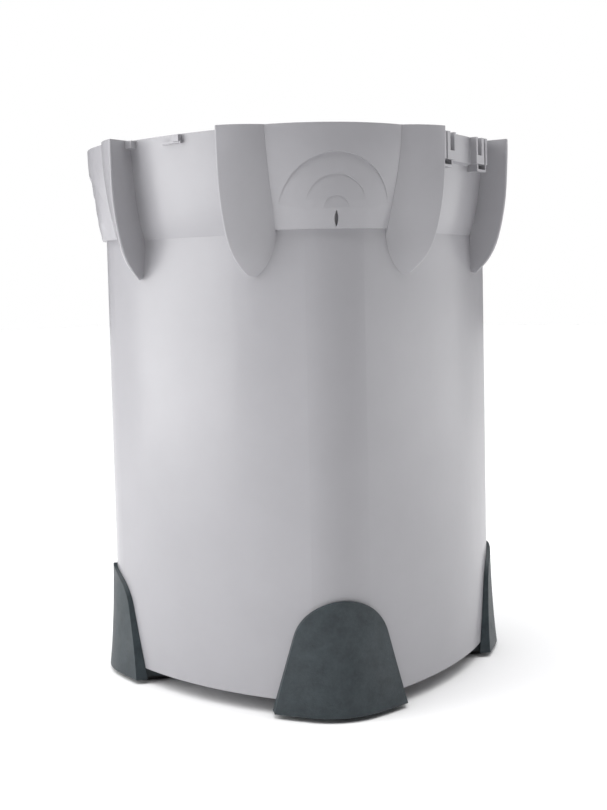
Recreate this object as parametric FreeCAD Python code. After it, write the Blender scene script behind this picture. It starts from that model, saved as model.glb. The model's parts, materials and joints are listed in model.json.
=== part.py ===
import FreeCAD, Part
import math
import os

# Tub of an external aquarium canister filter with its stack of media baskets, in millimetres.
# +Z is up, +X and +Y run square to the tub's flat sides, and the origin is the centre of the
# footprint on the surface that the rubber pads stand on.

os.makedirs("parts", exist_ok=True)
V = FreeCAD.Vector
UP = V(0, 0, 1)

# Tub outline: a rounded square whose sides bulge. Arc centres stay put when the outline is offset.
HALF_FLAT = 115.4
SIDE_RADIUS = 247.0
CORNER_RADIUS = 39.7
WALL = 3.0
TUB_BOTTOM = 10.0
FLOOR_UNDERSIDE = 14.0
FLOOR_TOP = 17.5
RIM_TOP = 353.5

# Collar: how far the recessed wall stands out from the tub's side, at even steps of height
COLLAR_BOTTOM = 291.5
COLLAR_OFFSETS = [0.0, 3.7, 5.9, 7.6, 8.9, 9.9, 10.6]
COLLAR_HALF_WIDTH = 56.0

# Corner panels: a broad arc in plan, which grows from its lower edge to its rim size like a sine
PANEL_BOTTOM = 293.4
PANEL_STEPS = 8
PANEL_LOWER = {"mid": 134.5, "along": 60.5, "out": 109.5}
PANEL_RIM = {"mid": 143.0, "along": 65.0, "out": 122.6}
PANEL_OVERLAP = 3.0

# Lugs: (height, inner face, crease, outer edge, how far out the outer edge is)
LUG_SECTIONS = [(41.5, 139.7, 64.8, 122.8), (41.6, 139.6, 65.0, 122.1), (41.7, 139.3, 64.7, 120.2),
                (41.8, 138.6, 64.0, 117.3), (41.8, 136.9, 62.9, 113.6), (41.9, 134.2, 61.2, 109.4),
                (42.3, 129.3, 60.2, 103.8), (43.4, 118.8, 56.8, 94.0), (44.0, 98.0, 52.0, 78.0)]
LUG_STEP = 12.1
LUG_ROOT = 100.0
LUG_DEEP_ROOT = 70.0
LUG_CREASE_RADIUS = 1.0
LUG_BULGE = 0.085
LUG_LEAN = 3.6
# Lug seen from the front: down its inner edge, round the tongue's tip and away to the outside
LUG_TONGUE = [(36.0, 360), (36.0, 286), (40.6, 281.5), (41.5, 274.0), (44.0, 267.4), (47.8, 266.5), (52.0, 268.8),
              (72.0, 288), (72.0, 360)]
LUG_CORE_TOP = [(47.0, 120.2), (47.0, 132.0), (59.5, 122.9), (59.5, 120.2)]
LUG_CORE_BOTTOM = [(47.0, 119.5), (47.0, 128.5), (55.0, 121.5), (55.0, 119.5)]
LUG_CORE_FLOOR = 314.0

# Relief on each corner panel: three nested scallops and a lens-shaped slot
SCALLOPS = [(33.0, 337.0), (18.0, 324.5), (7.6, 312.2)]
SCALLOP_TILT = 2.4
SLOT_MIDDLE = 299.0
SLOT_LENGTH = 9.4
SLOT_WIDTH = 2.4
SLOT_DEPTH = 2.2

# Catches at the rim, on the +X and -X sides: a latch pad between two slotted hooks, mirror images
CATCH_ROOT = 116.0
CATCH_TOP = RIM_TOP - 0.5
PAD_HALF_WIDTH = 14.0
PAD_OUT = 127.1
PAD_BOTTOM = 336.2
PAD_SLOPE_BOTTOM = 333.6
HOOK_OUT = 131.6
HOOK_FROM = 14.0
HOOK_TO = 29.2
HOOK_BOTTOM = 336.0
HOOK_SLOT = (16.0, 21.2)
HOOK_SLOT_BOTTOM = 341.6
HOOK_SLOT_IN = 125.2
HOOK_GROOVE = (24.9, 26.6)
HOOK_GROOVE_IN = 129.2
CUP_FROM = 16.8
CUP_BOTTOM = 331.4
CUP_OUT = 130.6
CUP_WALL = 1.5

# Small tabs at the rim on the -Y and +Y sides: (from, to, bottom, out)
TABS = [(-40.6, -35.2, 348.3, 127.6), (-0.5, 4.9, 349.0, 129.2)]
TAB_LEDGE = (-9.9, 5.6)
TAB_LEDGE_BOTTOM = 347.9
TAB_LEDGE_TOP = 349.4
TAB_LEDGE_OUT = 128.0

# Mouth
LEDGE_TOP = 308.0
LEDGE_OFFSET = 2.0
MOUTH_RIM_OFFSET = 7.4
SEAL_HEIGHT = 5.0

# Foot shoes, pads and screws
SHOE_PROFILE = [(3.0, 6.6), (20.0, 4.9), (40.0, 3.6), (80.0, 2.4)]
SHOE_ARCH_RADIUS = 30.0
SHOE_ARCH_MIDDLE = 42.0
SHOE_FOOT_HALF_WIDTH = 41.5
SHOE_GAP = 0.25
SHOE_BASE_IN = 86.0
SHOE_BASE_HALF_WIDTH = 36.0
SHOE_PLATE_BOTTOM = 6.9
SHOE_RIM_WALL = 2.5
SCREW_OUT = 107.5
SCREW_RADIUS = 1.65
SCREW_TOP = 22.5
SCREW_HEAD_RADIUS = 3.6
SCREW_HEAD_HEIGHT = 2.6
BOSS_RADIUS = 6.0
BOSS_TOP = 24.5

# Baskets
BASKET_COUNT = 4
FIRST_BASKET = 28.0
BASKET_PITCH = 68.0
BASKET_GAP = 0.4
BASKET_OFFSET = -9.6
BASKET_WALL = 2.2
BASKET_FLOOR = 2.4
BASKET_LIP = 0.6
BASKET_LIP_HEIGHT = 4.0
SPIGOT_DEPTH = 2.0
SPIGOT_OFFSET = -12.8
RISER_AT = V(-72, -72, 0)
RISER_OUTER = 17.0
RISER_INNER = 14.5
RISER_SEAL = 2.0
GRATE_SLOT = 3.6
GRATE_PITCH = 11.0
GRATE_ROWS = 17
GRATE_COLUMNS = 3
GRATE_SLOT_LENGTH = 58.0
GRATE_COLUMN_PITCH = 64.0
LEG_OUT = 85.0
LEG_RADIUS = 6.0
MEDIA_TOP = 34.0
MEDIA_GAP = 0.3
MEDIA_OFFSET = -13.6

# Bails
BAIL_HEIGHT = 40.0
BAIL_REACH = 21.0
BAIL_BAR = 2.6
BAIL_EYE = 5.0
BAIL_EYE_IN = 97.6
BAIL_EYE_OUT = 101.6
STUD_RADIUS = 2.5
STUD_CLEARANCE = 0.05
STUD_HEAD_RADIUS = 3.8
STUD_HEAD_IN = 96.2
STUD_HEAD_OUT = 97.2

# Basket cover
COVER_THICKNESS = 2.4
COVER_KNOB_HEIGHT = 16.0
COVER_COLLAR_HEIGHT = 12.0

# Media
BALL_RADIUS = 12.4
BALL_PITCH = 26.0
BALLS_ACROSS = 7
BAG_GAP = 4.0


def corner_centre():
    """Distance along X and Y of a corner arc's centre from the axis."""
    shift = SIDE_RADIUS - HALF_FLAT
    reach = SIDE_RADIUS - CORNER_RADIUS
    return (-shift + math.sqrt(2 * reach ** 2 - shift ** 2)) / 2


CORNER_AT = corner_centre()
SIDE_HALF_ANGLE = math.degrees(math.atan2(CORNER_AT, CORNER_AT + SIDE_RADIUS - HALF_FLAT))


def polar(centre, radius, degrees, z):
    angle = math.radians(degrees)
    return V(centre.x + radius * math.cos(angle), centre.y + radius * math.sin(angle), z)


def arc(centre, radius, start, end, z):
    points = [polar(centre, radius, a, z) for a in (start, (start + end) / 2, end)]
    return Part.Arc(*points).toShape()


def outline(offset, z):
    """The tub's outline, moved out by offset, at height z."""
    edges = []
    for quarter in range(4):
        facing = 90 * quarter
        side_centre = polar(V(0, 0, 0), HALF_FLAT - SIDE_RADIUS, facing, 0)
        corner = polar(V(0, 0, 0), CORNER_AT * math.sqrt(2), facing + 45, 0)
        edges.append(arc(side_centre, SIDE_RADIUS + offset, facing - SIDE_HALF_ANGLE,
                         facing + SIDE_HALF_ANGLE, z))
        edges.append(arc(corner, CORNER_RADIUS + offset, facing + SIDE_HALF_ANGLE,
                         facing + 90 - SIDE_HALF_ANGLE, z))
    return Part.Wire(edges)


def prism(offset, bottom, top):
    return Part.Face(outline(offset, bottom)).extrude(V(0, 0, top - bottom))


def ring(outer_offset, inner_offset, bottom, top):
    return prism(outer_offset, bottom, top).cut(prism(inner_offset, bottom - 1, top + 1))


def side_radius_loft(profile):
    """A solid whose outline grows with height, from (height, offset) pairs."""
    return Part.makeLoft([outline(offset, z) for z, offset in profile], True, False)


def box(x0, x1, y0, y1, z0, z1):
    return Part.makeBox(x1 - x0, y1 - y0, z1 - z0, V(x0, y0, z0))


def cylinder(radius, bottom, top, at=V(0, 0, 0)):
    return Part.makeCylinder(radius, top - bottom, V(at.x, at.y, bottom))


def turned(shape, degrees):
    copy = shape.copy()
    copy.rotate(V(0, 0, 0), UP, degrees)
    return copy


def on_all_sides(shape):
    return [turned(shape, 90 * quarter) for quarter in range(4)]


def side_point(along, out, z):
    """A point seen from the -Y side: along it to +X, and out from the axis."""
    return V(along, -out, z)


def polygon_wire(points):
    return Part.makePolygon(points + points[:1])


# Tub shell -----------------------------------------------------------------------------------


def lug_section(z, inner, crease, outer, outer_out):
    """One plan section of a lug: flat inner face, rounded crease, bulging flank and outer face."""
    chord_angle = math.atan2(crease - outer_out, outer - inner)
    start_angle = chord_angle - 2 * math.atan(2 * LUG_BULGE)
    half_corner = (math.pi / 2 - start_angle) / 2
    tangent = LUG_CREASE_RADIUS / math.tan(half_corner)
    fillet_depth = LUG_CREASE_RADIUS * (1 / math.sin(half_corner) - 1)
    towards = start_angle + half_corner
    before = side_point(inner, crease - tangent, z)
    middle = side_point(inner + fillet_depth * math.cos(towards), crease - fillet_depth * math.sin(towards), z)
    after = side_point(inner + tangent * math.cos(start_angle), crease - tangent * math.sin(start_angle), z)
    end = side_point(outer, outer_out, z)
    chord = end - after
    normal = V(-chord.y, chord.x, 0).normalize() * -1
    bulge = (after + end) * 0.5 + normal * (LUG_BULGE * chord.Length)
    root_outer = side_point(outer, LUG_DEEP_ROOT, z)
    root_inner = side_point(inner - LUG_LEAN, LUG_DEEP_ROOT, z)
    return Part.Wire([
        Part.makeLine(root_inner, before),
        Part.Arc(before, middle, after).toShape(),
        Part.Arc(after, bulge, end).toShape(),
        Part.makeLine(end, root_outer),
        Part.makeLine(root_outer, root_inner),
    ])


def tongue_prism():
    """The lug's outline seen from the front, reaching right through the lug from its root."""
    points = [side_point(along, LUG_ROOT, z) for along, z in LUG_TONGUE]
    edges = [
        Part.makeLine(points[0], points[1]),
        Part.makeLine(points[1], points[2]),
        Part.Arc(points[2], points[3], points[4]).toShape(),
        Part.Arc(points[4], points[5], points[6]).toShape(),
        Part.makeLine(points[6], points[7]),
        Part.makeLine(points[7], points[8]),
        Part.makeLine(points[8], points[0]),
    ]
    return Part.Face(Part.Wire(edges)).extrude(V(0, -60, 0))


def lug():
    sections = [lug_section(RIM_TOP - i * LUG_STEP, *row) for i, row in enumerate(LUG_SECTIONS)]
    return Part.makeLoft(sections[::-1], True, False).common(tongue_prism())


def lug_core():
    """The moulding's core-out of a lug, open at the rim."""
    top = polygon_wire([side_point(a, o, RIM_TOP + 1) for a, o in LUG_CORE_TOP])
    bottom = polygon_wire([side_point(a, o, LUG_CORE_FLOOR) for a, o in LUG_CORE_BOTTOM])
    return Part.makeLoft([bottom, top], True, True)


def mirrored(shape):
    return shape.mirror(V(0, 0, 0), V(1, 0, 0))


def panel_section(z, growth):
    """One plan section of a corner panel, on the +X axis before it is turned to a corner."""
    size = {key: PANEL_LOWER[key] + growth * (PANEL_RIM[key] - PANEL_LOWER[key]) for key in PANEL_RIM}
    end_out = (size["along"] + size["out"]) / math.sqrt(2)
    end_across = (size["out"] - size["along"]) / math.sqrt(2)
    rise = size["mid"] - end_out
    radius = (end_across ** 2 + rise ** 2) / (2 * rise)
    centre = V(size["mid"] - radius, 0, 0)
    half_angle = math.degrees(math.asin(end_across / radius) + PANEL_OVERLAP / radius)
    start = polar(centre, radius, -half_angle, z)
    end = polar(centre, radius, half_angle, z)
    root_out = LUG_ROOT + 5
    return Part.Wire([
        arc(centre, radius, -half_angle, half_angle, z),
        Part.makeLine(end, V(root_out, end.y, z)),
        Part.makeLine(V(root_out, end.y, z), V(root_out, start.y, z)),
        Part.makeLine(V(root_out, start.y, z), start),
    ])


def panel():
    """A corner panel on the +X axis, with its nested scallops and its slot."""
    sections = []
    for step in range(PANEL_STEPS + 1):
        share = step / PANEL_STEPS
        height = PANEL_BOTTOM + share * (RIM_TOP - PANEL_BOTTOM)
        sections.append(panel_section(height, math.sin(math.pi / 2 * share)))
    plain = Part.makeLoft(sections, True, False)
    shape = plain
    lean = 0.0
    for radius, apex in SCALLOPS:
        lean += SCALLOP_TILT
        hinge_height = apex - radius
        leaning = plain.copy()
        leaning.rotate(V(PANEL_LOWER["mid"] + 4, 0, hinge_height), V(0, 1, 0), -lean)
        disc = Part.makeCylinder(radius, 60, V(110, 0, hinge_height), V(1, 0, 0))
        upper = disc.common(box(100, 180, -radius, radius, hinge_height, apex + 1))
        shape = shape.cut(upper.cut(leaning))
    return shape.cut(lens_slot())


def lens_slot():
    half = SLOT_LENGTH / 2
    reach = PANEL_LOWER["mid"] + 12
    edges = []
    for side in (-1, 1):
        points = [V(reach, 0, SLOT_MIDDLE - half), V(reach, side * SLOT_WIDTH / 2, SLOT_MIDDLE),
                  V(reach, 0, SLOT_MIDDLE + half)]
        edges.append(Part.Arc(*points).toShape())
    depth = reach - PANEL_LOWER["mid"] + SLOT_DEPTH
    return Part.Face(Part.Wire(edges)).extrude(V(-depth, 0, 0))


def catch_box(start, end, bottom, top, out, root=CATCH_ROOT):
    """A block on the -Y side's rim, from start to end along it and from root out to out."""
    return box(start, end, -out, -root, bottom, top)


def latch_pad():
    """The pad between the two hooks, with a sloping underside."""
    half = PAD_HALF_WIDTH + 0.5
    profile = [side_point(-half, CATCH_ROOT, PAD_SLOPE_BOTTOM - 3), side_point(-half, PAD_OUT, PAD_BOTTOM),
               side_point(-half, PAD_OUT, CATCH_TOP), side_point(-half, CATCH_ROOT, CATCH_TOP)]
    return Part.Face(polygon_wire(profile)).extrude(V(2 * half, 0, 0))


def hook():
    """One slotted hook, with a cup under its outer end."""
    block = catch_box(HOOK_FROM, HOOK_TO, HOOK_BOTTOM, CATCH_TOP, HOOK_OUT)
    cup = catch_box(CUP_FROM, HOOK_TO, CUP_BOTTOM, HOOK_BOTTOM, CUP_OUT)
    hollow = catch_box(CUP_FROM + CUP_WALL, HOOK_TO - CUP_WALL, CUP_BOTTOM + CUP_WALL, HOOK_BOTTOM, CUP_OUT + 1,
                       HOOK_SLOT_IN)
    slot = catch_box(*HOOK_SLOT, HOOK_SLOT_BOTTOM, RIM_TOP + 1, HOOK_OUT + 1, HOOK_SLOT_IN)
    groove = catch_box(*HOOK_GROOVE, HOOK_BOTTOM - 1, RIM_TOP + 1, HOOK_OUT + 1, HOOK_GROOVE_IN)
    return block.fuse(cup.cut(hollow)).cut([slot, groove])


def rim_tabs():
    """The small tabs of the other recesses, with the ledge under one of them."""
    pieces = [catch_box(start, end, bottom, CATCH_TOP, out) for start, end, bottom, out in TABS]
    pieces.append(catch_box(*TAB_LEDGE, TAB_LEDGE_BOTTOM, TAB_LEDGE_TOP, TAB_LEDGE_OUT))
    return pieces


def floor_ribs():
    """Ribs under the floor, which stop short of the tub's lower edge."""
    ribs = []
    for place in (-60, -20, 20, 60):
        ribs.append(box(place - 1.2, place + 1.2, -120, 120, TUB_BOTTOM + 1, FLOOR_UNDERSIDE + 1))
        ribs.append(box(-120, 120, place - 1.2, place + 1.2, TUB_BOTTOM + 1, FLOOR_UNDERSIDE + 1))
    inside = prism(-WALL / 2, TUB_BOTTOM, FLOOR_TOP)
    return [rib.common(inside) for rib in ribs]


def at_corners(make):
    return [turned(make, 45 + 90 * quarter) for quarter in range(4)]


def tub_shell():
    outside = prism(0, TUB_BOTTOM, RIM_TOP)
    rise = (RIM_TOP - COLLAR_BOTTOM) / (len(COLLAR_OFFSETS) - 1)
    collar = side_radius_loft([(COLLAR_BOTTOM + i * rise, offset) for i, offset in enumerate(COLLAR_OFFSETS)])
    reach = 160
    cross = box(-COLLAR_HALF_WIDTH, COLLAR_HALF_WIDTH, -reach, reach, 280, 360).fuse(
        box(-reach, reach, -COLLAR_HALF_WIDTH, COLLAR_HALF_WIDTH, 280, 360))
    additions = [collar.common(cross)]
    additions += at_corners(panel())
    one_lug = lug()
    for shape in (one_lug, mirrored(one_lug)):
        additions += on_all_sides(shape)
    one_hook = hook()
    for piece in (latch_pad(), one_hook, mirrored(one_hook)):
        additions += [turned(piece, 90), turned(piece, 270)]
    for piece in rim_tabs():
        additions += [piece, turned(piece, 180)]
    shell = outside.fuse(additions)
    mouth = Part.makeLoft([outline(LEDGE_OFFSET, LEDGE_TOP), outline(MOUTH_RIM_OFFSET, RIM_TOP + 0.01)], True, True)
    cuts = [prism(-WALL, FLOOR_TOP, LEDGE_TOP), mouth, prism(-WALL, TUB_BOTTOM - 1, FLOOR_UNDERSIDE)]
    for shape in (lug_core(), mirrored(lug_core())):
        cuts += on_all_sides(shape)
    shell = shell.cut(cuts)
    boss = cylinder(BOSS_RADIUS, TUB_BOTTOM, BOSS_TOP, V(SCREW_OUT, 0, 0))
    shell = shell.fuse(floor_ribs() + at_corners(boss))
    bore = cylinder(SCREW_RADIUS + 0.05, TUB_BOTTOM - 1, SCREW_TOP + 0.5, V(SCREW_OUT, 0, 0))
    return shell.cut(at_corners(bore)).removeSplitter()


def seal_ring():
    return ring(LEDGE_OFFSET - 0.3, -2.7, LEDGE_TOP, LEDGE_TOP + SEAL_HEIGHT)


# Feet ----------------------------------------------------------------------------------------


def arch():
    """The shoe's arched face as a prism along +X: a round top on sides that splay."""
    foot = SHOE_PROFILE[0][0]
    drop = SHOE_ARCH_MIDDLE - foot
    span = math.hypot(SHOE_FOOT_HALF_WIDTH, drop)
    lean = math.acos(SHOE_ARCH_RADIUS / span) - math.atan2(drop, SHOE_FOOT_HALF_WIDTH)
    across = SHOE_ARCH_RADIUS * math.cos(lean)
    height = SHOE_ARCH_MIDDLE + SHOE_ARCH_RADIUS * math.sin(lean)
    near = 60
    right = V(near, across, height)
    left = V(near, -across, height)
    top = V(near, 0, SHOE_ARCH_MIDDLE + SHOE_ARCH_RADIUS)
    foot_right = V(near, SHOE_FOOT_HALF_WIDTH, foot)
    foot_left = V(near, -SHOE_FOOT_HALF_WIDTH, foot)
    wire = Part.Wire([
        Part.makeLine(foot_left, left),
        Part.Arc(left, top, right).toShape(),
        Part.makeLine(right, foot_right),
        Part.makeLine(foot_right, foot_left),
    ])
    return Part.Face(wire).extrude(V(120, 0, 0))


def foot_shoe():
    """A foot shoe at the +X axis of a frame turned by 45 degrees."""
    skin = turned(side_radius_loft(SHOE_PROFILE).cut(prism(SHOE_GAP, 0, 100)), 45).common(arch())
    half = SHOE_BASE_HALF_WIDTH
    base = turned(prism(3.0, SHOE_PROFILE[0][0], TUB_BOTTOM - SHOE_GAP), 45)
    base = base.common(box(SHOE_BASE_IN, 160, -half, half, 0, 12))
    wall = SHOE_RIM_WALL
    pocket = turned(prism(-1.0, 0, SHOE_PLATE_BOTTOM), 45)
    pocket = pocket.common(box(SHOE_BASE_IN + wall, 160, -half + wall, half - wall, 0, 12))
    hole = cylinder(SCREW_RADIUS + 0.4, 0, 20, V(SCREW_OUT, 0, 0))
    return skin.fuse(base).cut(pocket).cut(hole).removeSplitter()


def foot_pad():
    half = SHOE_BASE_HALF_WIDTH - SHOE_RIM_WALL - 0.2
    pad = turned(prism(-1.2, 0, SHOE_PLATE_BOTTOM - 0.05), 45)
    pad = pad.common(box(SHOE_BASE_IN + SHOE_RIM_WALL + 0.2, 160, -half, half, -1, 12))
    return pad.cut(cylinder(SCREW_HEAD_RADIUS + 1.4, -1, 12, V(SCREW_OUT, 0, 0)))


def foot_screw():
    head_top = SHOE_PLATE_BOTTOM
    at = V(SCREW_OUT, 0, 0)
    head = cylinder(SCREW_HEAD_RADIUS, head_top - SCREW_HEAD_HEIGHT, head_top, at)
    shank = cylinder(SCREW_RADIUS, head_top, SCREW_TOP, at)
    arm = 4.2
    cross = box(at.x - arm / 2, at.x + arm / 2, -0.5, 0.5, 0, head_top - SCREW_HEAD_HEIGHT + 1.2)
    cross = cross.fuse(box(at.x - 0.5, at.x + 0.5, -arm / 2, arm / 2, 0, head_top - SCREW_HEAD_HEIGHT + 1.2))
    return head.fuse(shank).cut(cross)


# Baskets -------------------------------------------------------------------------------------


def grate_slots(bottom, top, keep_clear):
    """Slots through a basket's floor or cover, apart from those that meet the keep_clear discs."""
    slots = []
    for row in range(GRATE_ROWS):
        y = (row - (GRATE_ROWS - 1) / 2) * GRATE_PITCH
        for column in range(GRATE_COLUMNS):
            x = (column - (GRATE_COLUMNS - 1) / 2) * GRATE_COLUMN_PITCH
            half = GRATE_SLOT_LENGTH / 2
            clear = True
            for centre, radius in keep_clear:
                nearest = min(max(centre.x, x - half), x + half)
                clear = clear and math.hypot(nearest - centre.x, y - centre.y) > radius + GRATE_SLOT
            if clear:
                slots.append(box(x - half, x + half, y - GRATE_SLOT / 2, y + GRATE_SLOT / 2, bottom - 1, top + 1))
    return slots


def bail_stud(side, z):
    """A basket's pivot stud for its bail, with a head that keeps the eye on."""
    wall_in = HALF_FLAT + BASKET_OFFSET - BASKET_WALL / 2
    stud = Part.makeCylinder(STUD_RADIUS, wall_in - STUD_HEAD_IN, V(side * STUD_HEAD_IN, 0, z), V(side, 0, 0))
    head = Part.makeCylinder(STUD_HEAD_RADIUS, STUD_HEAD_OUT - STUD_HEAD_IN, V(side * STUD_HEAD_IN, 0, z),
                             V(side, 0, 0))
    return stud.fuse(head)


def spigot(z0):
    """The ring under a basket or the cover that drops into the basket below, relieved around the riser."""
    whole = ring(SPIGOT_OFFSET, SPIGOT_OFFSET - BASKET_WALL, z0 - SPIGOT_DEPTH, z0 + 1)
    return whole.cut(cylinder(RISER_OUTER + 0.5, z0 - SPIGOT_DEPTH - 1, z0, RISER_AT))


def basket(index):
    z0 = FIRST_BASKET + index * BASKET_PITCH
    top = z0 + BASKET_PITCH - BASKET_GAP
    inner = BASKET_OFFSET - BASKET_WALL
    walls = prism(BASKET_OFFSET, z0, top).fuse(prism(BASKET_OFFSET + BASKET_LIP, top - BASKET_LIP_HEIGHT, top))
    walls = walls.cut(prism(inner, z0 + BASKET_FLOOR, top + 1))
    tube = cylinder(RISER_OUTER, z0, top - RISER_SEAL, RISER_AT)
    additions = [spigot(z0), tube] + [bail_stud(side, z0 + BAIL_HEIGHT) for side in (-1, 1)]
    if index == 0:
        for leg in on_all_sides(cylinder(LEG_RADIUS, FLOOR_TOP + 0.3, z0 + 1, V(LEG_OUT, 0, 0))):
            additions.append(leg)
    keep_clear = [(RISER_AT, RISER_OUTER)]
    if index == 0:
        for quarter in range(4):
            keep_clear.append((polar(V(0, 0, 0), LEG_OUT, 90 * quarter, 0), LEG_RADIUS))
    cuts = grate_slots(z0 - SPIGOT_DEPTH, z0 + BASKET_FLOOR, keep_clear)
    cuts.append(cylinder(RISER_INNER, z0 - 5, top + 5, RISER_AT))
    return walls.fuse(additions).cut(cuts).removeSplitter()


def riser_seal(index):
    top = FIRST_BASKET + (index + 1) * BASKET_PITCH - BASKET_GAP
    return cylinder(RISER_OUTER, top - RISER_SEAL, top, RISER_AT).cut(cylinder(RISER_INNER, 0, 400, RISER_AT))


def bail(index):
    """The bail lies flat towards +Y at rest and turns up about X."""
    z = FIRST_BASKET + index * BASKET_PITCH + BAIL_HEIGHT
    arm_at = (BAIL_EYE_IN + BAIL_EYE_OUT) / 2
    width = BAIL_EYE_OUT - BAIL_EYE_IN
    bar = Part.makeCylinder(BAIL_BAR, 2 * arm_at, V(-arm_at, BAIL_REACH, z), V(1, 0, 0))
    grip = Part.makeCylinder(BAIL_BAR + 1.2, 70, V(-35, BAIL_REACH, z), V(1, 0, 0))
    pieces = [grip]
    bores = []
    for side in (-1, 1):
        low = side * arm_at - width / 2
        pieces.append(Part.makeCylinder(BAIL_EYE, width, V(low, 0, z), V(1, 0, 0)))
        pieces.append(box(low, low + width, 0, BAIL_REACH, z - BAIL_BAR, z + BAIL_BAR))
        pieces.append(Part.makeCylinder(BAIL_BAR, width, V(low, BAIL_REACH, z), V(1, 0, 0)))
        bores.append(Part.makeCylinder(STUD_RADIUS + STUD_CLEARANCE, width + 2, V(low - 1, 0, z), V(1, 0, 0)))
    return bar.fuse(pieces).cut(bores).removeSplitter()


def basket_cover():
    z0 = FIRST_BASKET + BASKET_COUNT * BASKET_PITCH
    top = z0 + COVER_THICKNESS
    plate = prism(BASKET_OFFSET, z0, top)
    collar = cylinder(RISER_OUTER, z0, top + COVER_COLLAR_HEIGHT, RISER_AT)
    stem = cylinder(7, z0, top + COVER_KNOB_HEIGHT - 4, V(0, 0, 0))
    knob = cylinder(13, top + COVER_KNOB_HEIGHT - 5, top + COVER_KNOB_HEIGHT, V(0, 0, 0))
    knob = knob.makeFillet(1.8, [e for e in knob.Edges if e.Curve.TypeId == "Part::GeomCircle"])
    cuts = grate_slots(z0 - SPIGOT_DEPTH, top, [(RISER_AT, RISER_OUTER), (V(0, 0, 0), 14)])
    cuts.append(cylinder(RISER_INNER, z0 - 5, top + 40, RISER_AT))
    return plate.fuse([spigot(z0), collar, stem, knob]).cut(cuts).removeSplitter()


# Media ---------------------------------------------------------------------------------------


def media_block(index, low, high):
    """A pad that fills a basket between two heights above the basket's base, clear of its riser."""
    z0 = FIRST_BASKET + index * BASKET_PITCH
    block = prism(MEDIA_OFFSET, z0 + low, z0 + high)
    return block.cut(cylinder(RISER_OUTER + 1, z0, z0 + BASKET_PITCH, RISER_AT))


def media_bags(index):
    """Two filled net bags side by side, split along X."""
    block = media_block(index, BASKET_FLOOR + MEDIA_GAP, MEDIA_TOP - 1)
    left = block.common(box(-130, -BAG_GAP / 2, -130, 130, 0, 400))
    right = block.common(box(BAG_GAP / 2, 130, -130, 130, 0, 400))
    return left, right


def bio_balls(index):
    z = FIRST_BASKET + index * BASKET_PITCH + BASKET_FLOOR + MEDIA_GAP + BALL_RADIUS
    middle = (BALLS_ACROSS - 1) / 2
    balls = []
    for row in range(BALLS_ACROSS):
        for column in range(BALLS_ACROSS):
            at = V((column - middle) * BALL_PITCH, (row - middle) * BALL_PITCH, z)
            past_corner = max(abs(at.x), abs(at.y)) > 75 and min(abs(at.x), abs(at.y)) > 75
            near_riser = (at - RISER_AT - V(0, 0, z)).Length < RISER_OUTER + BALL_RADIUS + 1
            if not past_corner and not near_riser:
                balls.append(Part.makeSphere(BALL_RADIUS, at))
    return Part.makeCompound(balls)


def write(name, shape):
    shape.exportStep("parts/" + name + ".step")
    solids = shape.Solids
    print(name, "solids", len(solids), "valid", shape.isValid(), "volume", round(sum(s.Volume for s in solids) / 1000, 1))


write("tub_shell", tub_shell())
write("seal_ring", seal_ring())
shoe = foot_shoe()
for name, facing in (("front", -45), ("right", 45), ("back", 135), ("left", 225)):
    write("foot_shoe_" + name, turned(shoe, facing))
write("foot_pads", Part.makeCompound(at_corners(foot_pad())))
write("foot_screws", Part.makeCompound(at_corners(foot_screw())))
for index in range(BASKET_COUNT):
    number = str(index + 1)
    write("basket_" + number, basket(index))
    write("bail_" + number, bail(index))
    write("riser_seal_" + number, riser_seal(index))
write("basket_cover", basket_cover())
write("coarse_foam", media_block(0, BASKET_FLOOR + MEDIA_GAP, MEDIA_TOP))
ceramic, carbon = media_bags(1)
write("ceramic_bag", ceramic)
write("carbon_bag", carbon)
write("bio_balls", bio_balls(2))
write("fine_foam", media_block(3, BASKET_FLOOR + MEDIA_GAP, 22))
write("floss_pad", media_block(3, 22.3, MEDIA_TOP))
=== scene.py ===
import json
import math
import random

import bmesh
import bpy
from mathutils import Matrix, Vector, noise


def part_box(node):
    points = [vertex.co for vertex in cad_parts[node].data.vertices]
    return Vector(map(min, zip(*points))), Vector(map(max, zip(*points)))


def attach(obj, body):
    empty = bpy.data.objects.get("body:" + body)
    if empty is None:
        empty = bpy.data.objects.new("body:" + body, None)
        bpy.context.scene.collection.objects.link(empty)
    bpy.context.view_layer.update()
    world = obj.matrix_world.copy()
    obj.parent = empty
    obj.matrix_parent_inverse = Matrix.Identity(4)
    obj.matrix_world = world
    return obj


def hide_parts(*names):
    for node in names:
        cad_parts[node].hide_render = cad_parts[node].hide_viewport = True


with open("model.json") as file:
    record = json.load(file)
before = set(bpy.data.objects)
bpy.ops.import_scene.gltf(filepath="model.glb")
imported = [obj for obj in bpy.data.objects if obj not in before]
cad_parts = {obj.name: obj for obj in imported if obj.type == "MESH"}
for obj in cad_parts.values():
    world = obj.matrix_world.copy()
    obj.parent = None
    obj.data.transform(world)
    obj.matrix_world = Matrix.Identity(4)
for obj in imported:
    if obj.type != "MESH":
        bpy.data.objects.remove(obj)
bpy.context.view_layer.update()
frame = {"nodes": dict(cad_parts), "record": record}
scene = bpy.context.scene

SEED = 7
random.seed(SEED)


# Materials. Textures use Object coordinates, in metres, so a scale is one over the size of a feature.

def material(name, roughness, **sockets):
    made = bpy.data.materials.new(name)
    made.use_nodes = True
    shader = made.node_tree.nodes["Principled BSDF"]
    shader.inputs["Roughness"].default_value = roughness
    for key, value in sockets.items():
        shader.inputs[key.replace("_", " ")].default_value = value
    return made


def add(tree, kind, inputs=None, **settings):
    node = tree.nodes.new(kind)
    for key, value in settings.items():
        setattr(node, key, value)
    for key, value in (inputs or {}).items():
        if isinstance(value, bpy.types.NodeSocket):
            tree.links.new(value, node.inputs[key])
        else:
            node.inputs[key].default_value = value
    return node


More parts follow.
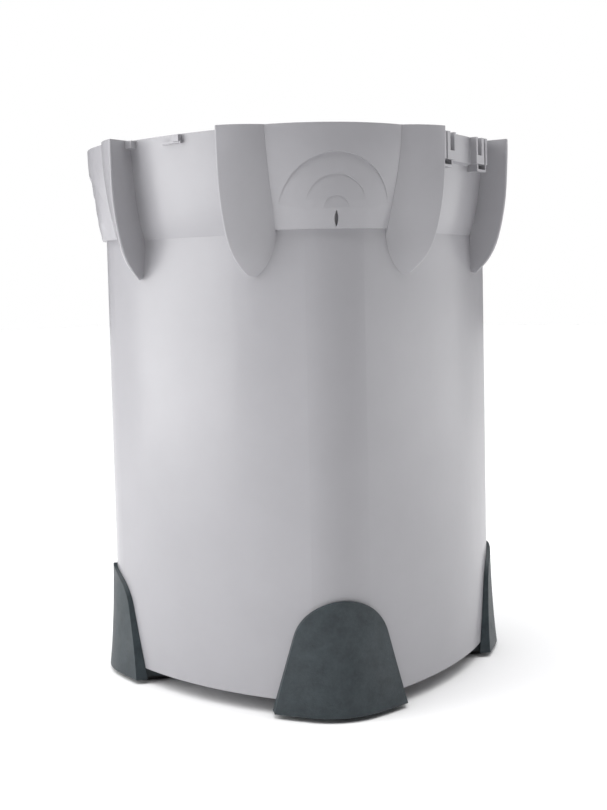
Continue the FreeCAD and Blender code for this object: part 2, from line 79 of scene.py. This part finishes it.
def place(tree, stretch=(1.0, 1.0, 1.0)):
    where = add(tree, "ShaderNodeTexCoord").outputs["Object"]
    return add(tree, "ShaderNodeMapping", {"Vector": where, "Scale": stretch}).outputs["Vector"]


def noise_at(tree, size, detail=4.0, rough=0.55, stretch=(1.0, 1.0, 1.0), distortion=0.0):
    inputs = {"Vector": place(tree, stretch), "Scale": 1.0 / size, "Detail": detail, "Roughness": rough,
              "Distortion": distortion}
    return add(tree, "ShaderNodeTexNoise", inputs).outputs["Fac"]


def cells_at(tree, size, feature="F1", randomness=1.0):
    inputs = {"Vector": place(tree), "Scale": 1.0 / size, "Randomness": randomness}
    return add(tree, "ShaderNodeTexVoronoi", inputs, feature=feature)


def remap(tree, value, low, high, to_low, to_high):
    inputs = {"Value": value, "From Min": low, "From Max": high, "To Min": to_low, "To Max": to_high}
    return add(tree, "ShaderNodeMapRange", inputs).outputs["Result"]


def ramp(tree, value, *stops):
    node = add(tree, "ShaderNodeValToRGB", {"Fac": value})
    while len(node.color_ramp.elements) < len(stops):
        node.color_ramp.elements.new(0.5)
    for element, (place_on, colour) in zip(node.color_ramp.elements, stops):
        element.position = place_on
        element.color = (*colour, 1.0)
    return node.outputs["Color"]


def mix(tree, factor, first, second):
    node = add(tree, "ShaderNodeMix", data_type="RGBA")
    factor_in, first_in, second_in = node.inputs[0], node.inputs[6], node.inputs[7]
    for socket, value in ((factor_in, factor), (first_in, first), (second_in, second)):
        if isinstance(value, bpy.types.NodeSocket):
            tree.links.new(value, socket)
        else:
            socket.default_value = value if isinstance(value, float) else (*value, 1.0)
    colour_out = node.outputs[2]
    return colour_out


def bump(tree, height, depth, strength=1.0, under=None):
    inputs = {"Height": height, "Distance": depth, "Strength": strength}
    if under is not None:
        inputs["Normal"] = under
    return add(tree, "ShaderNodeBump", inputs).outputs["Normal"]


def join(made, colour=None, roughness=None, normal=None):
    shader = made.node_tree.nodes["Principled BSDF"]
    for key, value in (("Base Color", colour), ("Roughness", roughness), ("Normal", normal)):
        if value is not None:
            made.node_tree.links.new(value, shader.inputs[key])
    return made


def gloss_plastic(name, light, shade):
    """Glossy moulded plastic: cloudy colour, fine speckle, handling smears and hairline scratches."""
    made = material(name, 0.3, Coat_Weight=0.12, Coat_Roughness=0.12, IOR=1.46)
    tree = made.node_tree
    clouds = noise_at(tree, 0.045, 5.0, 0.55)
    speckle = noise_at(tree, 0.0016, 2.0, 0.6)
    colour = ramp(tree, clouds, (0.2, shade), (0.8, light))
    colour = mix(tree, 0.05, colour, ramp(tree, speckle, (0.42, shade), (0.58, light)))
    smears = noise_at(tree, 0.03, 6.0, 0.65, (1.0, 1.0, 0.35), 0.6)
    scratches = noise_at(tree, 0.0011, 2.0, 0.5, (1.0, 1.0, 0.025), 0.2)
    rough = remap(tree, smears, 0.1, 0.9, 0.25, 0.37)
    skin = bump(tree, noise_at(tree, 0.006, 3.0, 0.5), 0.00006)
    return join(made, colour, rough, bump(tree, scratches, 0.000008, 0.4, skin))


def fine_plastic(name, light, shade, roughness, grain=0.0011, depth=0.00008):
    """Spark-eroded moulded plastic: mottled colour, fine even grain, polished and dusty areas."""
    made = material(name, roughness)
    tree = made.node_tree
    mottle = noise_at(tree, 0.012, 6.0, 0.7)
    colour = ramp(tree, mottle, (0.35, shade), (0.65, light))
    dust = noise_at(tree, 0.0018, 3.0, 0.7)
    colour = mix(tree, 0.28, colour, ramp(tree, dust, (0.4, shade), (0.7, light)))
    rough = remap(tree, noise_at(tree, 0.02, 4.0), 0.3, 0.7, roughness - 0.07, roughness + 0.09)
    return join(made, colour, rough, bump(tree, noise_at(tree, grain, 3.0, 0.6), depth))


def rubber(name, light, shade):
    """Moulded rubber: dull, faintly bloomed, with a fine stipple."""
    made = material(name, 0.72)
    tree = made.node_tree
    colour = ramp(tree, noise_at(tree, 0.008, 5.0, 0.7), (0.35, shade), (0.7, light))
    rough = remap(tree, noise_at(tree, 0.004, 3.0), 0.3, 0.7, 0.62, 0.82)
    return join(made, colour, rough, bump(tree, noise_at(tree, 0.0007, 2.0), 0.00005))


def turned_steel(name):
    """Stainless steel with fine machining lines and a little tarnish."""
    made = material(name, 0.3, Metallic=1.0)
    tree = made.node_tree
    colour = ramp(tree, noise_at(tree, 0.002, 4.0), (0.3, (0.42, 0.42, 0.43)), (0.7, (0.62, 0.62, 0.63)))
    lines = noise_at(tree, 0.0004, 2.0, 0.5, (1.0, 0.05, 1.0))
    return join(made, colour, remap(tree, lines, 0.3, 0.7, 0.22, 0.42), bump(tree, lines, 0.00001))


def open_foam(name, light, pore_shade, pore):
    """Open-cell foam: paler struts round pores painted darker as shade in the holes, and slightly uneven dye.
    """
    made = material(name, 0.95, Sheen_Weight=0.15, Sheen_Roughness=0.6)
    tree = made.node_tree
    struts = cells_at(tree, pore, "DISTANCE_TO_EDGE").outputs["Distance"]
    body = ramp(tree, noise_at(tree, 0.02, 4.0), (0.3, tuple(0.75 * c for c in light)), (0.7, light))
    # painted shade: the colour darkens towards each cell's middle, where the bump below sinks the wells
    colour = mix(tree, remap(tree, struts, 0.03, 0.2, 0.0, 1.0), body, pore_shade)
    wells = remap(tree, struts, 0.0, 0.3, 1.0, 0.0)
    return join(made, colour, None, bump(tree, wells, pore * 0.45))


def fibre_floss(name):
    """White filter floss: matted curly fibres with small hollows, the hollows painted grey as shade."""
    made = material(name, 0.9, Sheen_Weight=0.4, Sheen_Roughness=0.5)
    tree = made.node_tree
    curls = noise_at(tree, 0.0022, 8.0, 0.75, distortion=3.0)
    threads = noise_at(tree, 0.0007, 5.0, 0.8, (1.0, 0.3, 1.0), 2.0)
    # painted shade: the colour follows the curls' height, grey down in the hollows and white on the tops
    colour = ramp(tree, curls, (0.3, (0.52, 0.54, 0.56)), (0.62, (0.86, 0.87, 0.88)))
    return join(made, colour, None, bump(tree, threads, 0.0004, 1.0, bump(tree, curls, 0.0009)))


WAVES_PER_UNIT = 0.314  # the scale at which Blender's band texture repeats once a unit
NET_TILT = (0.5, 0.35)  # leans the bands, in radians, so that they also cross upright faces


def net(name, thread, grain_light, grain_dark, grain, mesh_pitch=0.0021):
    """A filled net bag: a diagonal knitted net over grains that show through its holes, with painted shade in
    the gaps between the grains.
    """
    made = material(name, 0.7)
    tree = made.node_tree
    grains = cells_at(tree, grain)
    lot = ramp(tree, grains.outputs["Color"], (0.1, grain_dark), (0.9, grain_light))
    # painted shade: the grains darken to a quarter of their darker tone in the gaps between them, where the
    # lumps sink
    gap_shade = remap(tree, grains.outputs["Distance"], 0.25, 0.65, 0.0, 1.0)
    grains_with_gap_shade = mix(tree, gap_shade, lot, tuple(0.25 * c for c in grain_dark))
    waves = []
    for turn in (45.0, -45.0):
        where = add(tree, "ShaderNodeTexCoord").outputs["Object"]
        rotation = (*NET_TILT, math.radians(turn))
        turned = add(tree, "ShaderNodeMapping", {"Vector": where, "Rotation": rotation})
        scale = WAVES_PER_UNIT / mesh_pitch
        inputs = {"Vector": turned.outputs["Vector"], "Scale": scale, "Distortion": 0.6}
        wave = add(tree, "ShaderNodeTexWave", inputs, wave_type="BANDS", bands_direction="X")
        waves.append(remap(tree, wave.outputs["Fac"], 0.72, 0.92, 0.0, 1.0))
    threads = add(tree, "ShaderNodeMath", operation="MAXIMUM")
    for socket, value in zip(threads.inputs, waves):
        tree.links.new(value, socket)
    colour = mix(tree, threads.outputs[0], grains_with_gap_shade, thread)
    lumps = bump(tree, grains.outputs["Distance"], -grain * 0.25)
    return join(made, colour, None, bump(tree, threads.outputs[0], 0.0004, 1.0, lumps))


paints = {
    "tub": gloss_plastic("pale_gloss_plastic", light=(0.362, 0.357, 0.378), shade=(0.338, 0.334, 0.353)),
    "shoe": fine_plastic("dark_shoe_plastic", light=(0.033, 0.046, 0.053), shade=(0.013, 0.021, 0.026),
                         roughness=0.5, grain=0.0009, depth=0.00014),
    "basket": fine_plastic("grey_basket_plastic", light=(0.17, 0.18, 0.195), shade=(0.13, 0.14, 0.155),
                           roughness=0.42),
    "bail": fine_plastic("green_bail_plastic", light=(0.035, 0.1, 0.12), shade=(0.022, 0.07, 0.086),
                         roughness=0.4),
    "bio_ball": fine_plastic("blue_ball_plastic", light=(0.06, 0.16, 0.33), shade=(0.035, 0.11, 0.25),
                             roughness=0.38),
    "pad": rubber("black_rubber", light=(0.02, 0.02, 0.021), shade=(0.008, 0.008, 0.009)),
    "seal": rubber("dark_silicone", light=(0.07, 0.07, 0.076), shade=(0.045, 0.045, 0.05)),
    "screw": turned_steel("stainless_steel"),
    # the pore colours below are painted shade in the foam's holes
    "coarse_foam": open_foam("coarse_black_foam", light=(0.055, 0.055, 0.06), pore_shade=(0.004, 0.004, 0.005),
                             pore=0.0021),
    "fine_foam": open_foam("fine_blue_foam", light=(0.12, 0.32, 0.47), pore_shade=(0.02, 0.07, 0.12),
                           pore=0.0011),
    "floss": fibre_floss("white_floss"),
    "ceramic_net": net("net_over_ceramic", thread=(0.8, 0.79, 0.76), grain_light=(0.78, 0.73, 0.64),
                       grain_dark=(0.5, 0.46, 0.38), grain=0.0105),
    "carbon_net": net("net_over_carbon", thread=(0.09, 0.09, 0.095), grain_light=(0.05, 0.05, 0.052),
                      grain_dark=(0.01, 0.01, 0.01), grain=0.0036),
}
record = frame["record"]
node_slot = {part["node"]: part["material_slot"] for part in record["subparts"]}
body_of_node = {node: body for body, nodes in record["behaviour"]["bodies"].items() for node in nodes}

for node_name, node_object in frame["nodes"].items():
    for material_slot in node_object.material_slots:
        material_slot.material = paints[node_slot[node_name]]


# Soft and fine pieces, each built on the shape of its CAD node.

def new_object(name, mesh):
    made = bpy.data.objects.new(name, mesh)
    scene.collection.objects.link(made)
    return made


def applied(obj):
    """A new mesh of obj with its modifiers applied."""
    seen = obj.evaluated_get(bpy.context.evaluated_depsgraph_get())
    return bpy.data.meshes.new_from_object(seen)


def remeshed(node, name, voxel):
    made = new_object(name, frame["nodes"][node].data.copy())
    grid = made.modifiers.new("grid", "REMESH")
    grid.mode = "VOXEL"
    grid.voxel_size = voxel
    made.data = applied(made)
    made.modifiers.clear()
    return made


def edit(obj, change):
    work = bmesh.new()
    work.from_mesh(obj.data)
    change(work)
    work.normal_update()
    work.to_mesh(obj.data)
    work.free()
    obj.data.update()


def smooth(obj, steps, factor=0.5):
    def change(work):
        for _ in range(steps):
            bmesh.ops.smooth_vert(work, verts=work.verts, factor=factor,
                                  use_axis_x=True, use_axis_y=True, use_axis_z=True)
    edit(obj, change)


def push_out(obj, amount):
    """Moves each vertex along its normal by amount(position), in metres."""
    def change(work):
        work.normal_update()
        moves = [vertex.normal * amount(vertex.co) for vertex in work.verts]
        for vertex, move in zip(work.verts, moves):
            vertex.co += move
    edit(obj, change)


def subdivided(obj):
    finer = obj.modifiers.new("finer", "SUBSURF")
    finer.levels = 1
    obj.data = applied(obj)
    obj.modifiers.clear()


CLOTH_FRAMES = 20
TINY = 1e-9


def inflate(obj, cap):
    """Swells the skin like a filled bag's by cloth under pressure, and moves no point more than cap."""
    rest = [vertex.co.copy() for vertex in obj.data.vertices]
    cloth = obj.modifiers.new("cloth", "CLOTH")
    cloth.settings.quality = 6
    cloth.settings.mass = 0.2
    cloth.settings.use_pressure = True
    cloth.settings.uniform_pressure_force = 4.0
    cloth.settings.effector_weights.gravity = 0.0
    cloth.collision_settings.use_collision = False
    cloth.point_cache.frame_start = 1
    cloth.point_cache.frame_end = CLOTH_FRAMES
    for step in range(1, CLOTH_FRAMES + 1):
        scene.frame_set(step)
    swollen = applied(obj)
    obj.modifiers.clear()
    scene.frame_set(1)
    for vertex, start, end in zip(obj.data.vertices, rest, swollen.vertices):
        move = end.co - start
        vertex.co = start + move * min(1.0, cap / max(move.length, TINY))


def finish_piece(obj, node):
    obj.data.shade_smooth()
    obj.data.materials.clear()
    obj.data.materials.append(paints[node_slot[node]])
    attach(obj, body_of_node[node])
    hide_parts(node)


def crown(node, height):
    """How far a pad stands proud at a point: full in the middle of its top, nothing at its edges."""
    low, high = (Vector(corner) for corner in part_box(node))
    middle = (low + high) / 2
    half = (high - low) / 2

    def amount(co):
        across = max(abs(co.x - middle.x) / half.x, abs(co.y - middle.y) / half.y)
        above = (co.z - middle.z) / half.z
        return height * max(0.0, 1 - across ** 4) if above > 0.5 else 0.0
    return amount


FOAM_WAVES = 90.0  # bumps a metre in a slab's faces
FOAM_SHRINK = 0.0002
BAG_VOXEL = 0.005
BAG_SHRINK = 0.0022
BAG_SWELL = 0.004


def foam_block(node, name, voxel, steps, lift, wander):
    """A cut slab: rounded edges in so many smoothing steps, a crown of height lift, and uneven faces."""
    made = remeshed(node, name, voxel)
    smooth(made, steps)
    raised = crown(node, lift)
    push_out(made, lambda co: raised(co) + wander * noise.noise(co * FOAM_WAVES) - FOAM_SHRINK)
    finish_piece(made, node)


def net_bag(node, name, lump, height):
    """A net bag swollen by its filling, with lumps of that size standing that high."""
    made = remeshed(node, name, BAG_VOXEL)
    push_out(made, lambda co: -BAG_SHRINK)
    smooth(made, 3)
    inflate(made, BAG_SWELL)
    subdivided(made)
    subdivided(made)

    def heap(co):
        nearest = noise.voronoi(co / lump)[0]
        return height * (0.5 - nearest[0])
    push_out(made, heap)
    smooth(made, 1, 0.3)
    finish_piece(made, node)


foam_block("coarse_foam", "coarse_foam_block", voxel=0.0026, steps=2, lift=0.0006, wander=0.0005)
foam_block("fine_foam", "fine_foam_block", voxel=0.0026, steps=2, lift=0.0006, wander=0.0004)
foam_block("floss_pad", "floss_mat", voxel=0.0024, steps=5, lift=0.0012, wander=0.0011)
net_bag("ceramic_bag", "net_bag_of_ceramic", lump=0.011, height=0.0022)
net_bag("carbon_bag", "net_bag_of_carbon", lump=0.0045, height=0.0008)


# Bio balls: fins round a hollow core, joined by flat hoops. Sizes are fractions of the ball's radius.

FIN_COUNT = 12
FIN_STEPS = 9
FIN_TIP = 78  # how far from the equator a fin's outer edge runs, in degrees
FIN_ROOT = 60
CORE = 0.22
CORE_STRETCH = 1.5
SHEET = 0.0009  # thickness of fins and hoops, in metres
HOOP_STEPS = 28
EQUATOR_HOOP = (0.985, 0.3)  # outer radius and width
SIDE_HOOPS = [(0.52, 0.8, 0.3), (0.84, 0.44, 0.24)]  # height, outer radius and width


def plate(work, outline, normal):
    """A flat plate with that closed outline, SHEET thick."""
    near, far = ([work.verts.new(point + normal * SHEET * side) for point in outline] for side in (-0.5, 0.5))
    work.faces.new(far)
    work.faces.new(list(reversed(near)))
    for here in range(len(outline)):
        after = (here + 1) % len(outline)
        work.faces.new((near[here], near[after], far[after], far[here]))


def fin(work, turn, radius, core):
    out = Vector((math.cos(turn), math.sin(turn), 0))
    across = Vector((-math.sin(turn), math.cos(turn), 0))
    points = []
    for step in range(FIN_STEPS + 1):
        tilt = math.radians(FIN_TIP * (2 * step / FIN_STEPS - 1))
        points.append(out * radius * math.cos(tilt) + Vector((0, 0, radius * math.sin(tilt))))
    for step in range(FIN_STEPS + 1):
        tilt = math.radians(FIN_ROOT * (1 - 2 * step / FIN_STEPS))
        points.append(out * core * math.cos(tilt) + Vector((0, 0, core * math.sin(tilt) * CORE_STRETCH)))
    plate(work, points, across)


def circle(work, radius, height):
    turns = [2 * math.pi * step / HOOP_STEPS for step in range(HOOP_STEPS)]
    return [work.verts.new((radius * math.cos(turn), radius * math.sin(turn), height)) for turn in turns]


def hoop(work, height, outer, width):
    inner = outer - width
    half = SHEET / 2
    corners = ((outer, height - half), (outer, height + half), (inner, height + half), (inner, height - half))
    rows = [circle(work, radius, level) for radius, level in corners]
    for row, nearby in zip(rows, rows[1:] + rows[:1]):
        for step in range(HOOP_STEPS):
            after = (step + 1) % HOOP_STEPS
            work.faces.new((row[step], row[after], nearby[after], nearby[step]))


def ribbed_ball(radius):
    work = bmesh.new()
    for number in range(FIN_COUNT):
        fin(work, 2 * math.pi * number / FIN_COUNT, radius, radius * CORE)
    outer, width = EQUATOR_HOOP
    hoop(work, 0.0, radius * outer, radius * width)
    for side in (-1, 1):
        for height, outer, width in SIDE_HOOPS:
            hoop(work, side * radius * height, radius * outer, radius * width)
    bmesh.ops.recalc_face_normals(work, faces=work.faces)
    mesh = bpy.data.meshes.new("ribbed_ball")
    work.to_mesh(mesh)
    work.free()
    return mesh


def ball_centres(node):
    """The middle of each separate sphere in the node's mesh, and the radius of one."""
    work = bmesh.new()
    work.from_mesh(frame["nodes"][node].data)
    bmesh.ops.remove_doubles(work, verts=work.verts, dist=1e-6)
    left = set(work.verts)
    centres = []
    while left:
        island = [left.pop()]
        for vertex in island:
            for edge in vertex.link_edges:
                other = edge.other_vert(vertex)
                if other in left:
                    left.remove(other)
                    island.append(other)
        low = [min(vertex.co[axis] for vertex in island) for axis in range(3)]
        high = [max(vertex.co[axis] for vertex in island) for axis in range(3)]
        centres.append((Vector(low) + Vector(high)) / 2)
    radius = (high[2] - low[2]) / 2
    work.free()
    centres.sort(key=lambda centre: tuple(round(value, 4) for value in centre))
    return centres, radius


BALL_SHRINK = 0.985


def ball_heap(node, name):
    """A ribbed ball, turned at random, in the place of each sphere."""
    centres, radius = ball_centres(node)
    one = ribbed_ball(radius * BALL_SHRINK)
    work = bmesh.new()
    for centre in centres:
        angle = random.uniform(0, math.pi)
        turn = Matrix.Rotation(angle, 4, Vector((random.random(), random.random(), 0.4)))
        before = len(work.verts)
        work.from_mesh(one)
        work.verts.ensure_lookup_table()
        bmesh.ops.transform(work, matrix=Matrix.Translation(centre) @ turn, verts=work.verts[before:])
    mesh = bpy.data.meshes.new(name)
    work.to_mesh(mesh)
    work.free()
    made = new_object(name, mesh)
    finish_piece(made, node)
    mesh.shade_flat()


ball_heap("bio_balls", "ribbed_ball_heap")


# Stage, light and camera.

UP = Vector((0.0, 0.0, 1.0))
MIDDLE = Vector((0.0, 0.0, 0.2))
WHITE = (1.0, 1.0, 1.0, 1.0)
FLOOR_REACH = 6.0

CAMERA_AT = Vector((0.4639, -0.6510, 0.2586))
CAMERA_FORWARD = Vector((-0.5775, 0.8144, -0.0574))
CAMERA_ROLL = math.radians(-1.284)
CAMERA_LENS = 50.62
CAMERA_SHIFT = -0.062963
VIEW_RIGHT = Vector((0.8144, 0.5775, 0.0))
VIEW_AWAY = Vector((-0.5775, 0.8144, 0.0))

SURROUND = 0.04  # strength of the dim surround, and of the bright patch overhead
OVERHEAD = 3.7
PATCH_EDGE = (0.7, 0.95)  # sine of the elevation where the patch begins and where it is full


def floor():
    reach = FLOOR_REACH
    corners = [(-reach, -reach, 0), (reach, -reach, 0), (reach, reach, 0), (-reach, reach, 0)]
    mesh = bpy.data.meshes.new("floor")
    mesh.from_pydata(corners, [], [(0, 1, 2, 3)])
    made = new_object("studio_floor", mesh)
    paint = material("studio_paper", 0.85)
    tree = paint.node_tree
    patches = noise_at(tree, 0.4, 3.0)
    join(paint, ramp(tree, patches, (0.3, (0.93, 0.93, 0.935)), (0.7, (0.95, 0.95, 0.955))))
    mesh.materials.append(paint)


def softbox(name, right, away, up, size, power):
    """An area light aimed at the middle of the tub, from so far right, away and up as the camera sees it."""
    lamp = bpy.data.lights.new(name, "AREA")
    lamp.shape = "RECTANGLE"
    lamp.size, lamp.size_y = size
    lamp.energy = power
    made = new_object(name, lamp)
    made.location = MIDDLE + VIEW_RIGHT * right + VIEW_AWAY * away + UP * up
    made.rotation_euler = (MIDDLE - made.location).to_track_quat("-Z", "Y").to_euler()


def white_world():
    """A dim surround with a bright soft patch overhead, seen by the camera as plain white."""
    world = bpy.data.worlds.new("surround")
    world.use_nodes = True
    tree = world.node_tree
    dim = tree.nodes["Background"]
    dim.inputs["Color"].default_value = WHITE
    towards = add(tree, "ShaderNodeTexCoord").outputs["Generated"]
    height = add(tree, "ShaderNodeSeparateXYZ", {0: towards}).outputs["Z"]
    tree.links.new(remap(tree, height, *PATCH_EDGE, SURROUND, OVERHEAD), dim.inputs["Strength"])
    white = add(tree, "ShaderNodeBackground", {"Color": WHITE, "Strength": 1.0})
    seen = add(tree, "ShaderNodeLightPath").outputs["Is Camera Ray"]
    both = add(tree, "ShaderNodeMixShader", {0: seen, 1: dim.outputs[0], 2: white.outputs[0]})
    tree.links.new(both.outputs[0], tree.nodes["World Output"].inputs["Surface"])
    scene.world = world


def camera():
    lens = bpy.data.cameras.new("camera")
    made = new_object("camera", lens)
    forward = CAMERA_FORWARD.normalized()
    across = forward.cross(UP).normalized()
    upward = across.cross(forward)
    right = across * math.cos(CAMERA_ROLL) + upward * math.sin(CAMERA_ROLL)
    top = upward * math.cos(CAMERA_ROLL) - across * math.sin(CAMERA_ROLL)
    pose = Matrix((right, top, -forward)).transposed().to_4x4()
    pose.translation = CAMERA_AT
    made.matrix_world = pose
    lens.sensor_fit = "VERTICAL"
    lens.sensor_width = 36.0
    lens.sensor_height = 36.0
    lens.lens = CAMERA_LENS
    lens.shift_y = CAMERA_SHIFT
    lens.clip_start = 0.01
    scene.camera = made


floor()
white_world()
softbox("left_softbox", right=-1.15, away=-0.25, up=0.35, size=(1.0, 1.3), power=15.0)
softbox("right_softbox", right=1.15, away=0.15, up=0.3, size=(1.1, 1.3), power=5.6)
camera()
scene.view_settings.view_transform = "Standard"
